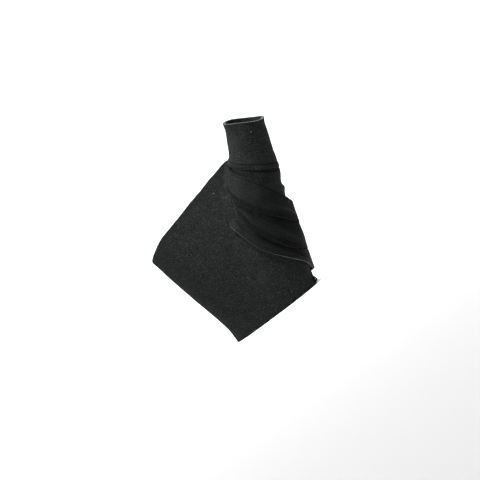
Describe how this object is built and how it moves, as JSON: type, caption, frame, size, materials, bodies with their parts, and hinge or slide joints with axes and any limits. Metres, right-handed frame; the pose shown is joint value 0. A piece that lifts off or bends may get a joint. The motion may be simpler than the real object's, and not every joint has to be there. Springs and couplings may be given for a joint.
{
  "type": "wrist support brace",
  "caption": "Black neoprene wrist and thumb support with a thumb sleeve and wrap-over straps that close with hook and loop on the back.",
  "frame": {"origin": "middle of the whole brace's footprint, in the plane of the wrist hem it stands on", "axes": "+Z from the wrist hem towards the fingers, -Y out of the palm, +X towards the thumb of the right hand"},
  "size_m": [0.1042, 0.0558, 0.1089],
  "materials": {
    "neoprene": "matt black jersey faced neoprene with a fine weave",
    "inner_stretch": "thin matt black jersey faced neoprene",
    "hook_tape": "black nylon hook tape",
    "loop_pile": "brushed black loop pile",
    "thread": "black polyester thread with a slight sheen"
  },
  "bodies": {
    "cuff": {"palm_panel": "neoprene", "dorsal_panel": "neoprene", "thumb_gusset": "inner_stretch", "thumb_sleeve": "neoprene", "strap_upper_root": "neoprene", "strap_middle_root": "neoprene", "strap_lower_root": "neoprene", "loop_field": "loop_pile", "thumb_seam": "thread", "ulnar_seam": "thread", "radial_seam": "thread", "seam_knot": "thread", "bartack_upper": "thread", "bartack_middle": "thread", "bartack_lower": "thread", "stitch_upper": "thread", "stitch_middle": "thread"},
    "strap_upper": {"strap_upper_end": "neoprene", "hook_upper": "hook_tape"},
    "strap_middle": {"strap_middle_end": "neoprene", "hook_middle": "hook_tape"},
    "strap_lower": {"strap_lower_end": "neoprene", "hook_lower": "hook_tape"}
  },
  "joints": [
    {"name": "upper_strap_peel", "type": "hinge", "parent": "cuff", "child": "strap_upper", "pos_m": [0.02635, 0.01617, 0.03713], "axis": [-0.0601, -0.2703, -0.9609], "range_deg": [0, 110]},
    {"name": "middle_strap_peel", "type": "hinge", "parent": "cuff", "child": "strap_middle", "pos_m": [0.02528, 0.01339, 0.02433], "axis": [-0.0997, -0.1295, -0.9866], "range_deg": [0, 110]},
    {"name": "lower_strap_peel", "type": "hinge", "parent": "cuff", "child": "strap_lower", "pos_m": [0.0227, 0.01464, 0.01236], "axis": [-0.3105, 0.3305, -0.8913], "range_deg": [0, 110]}
  ]
}
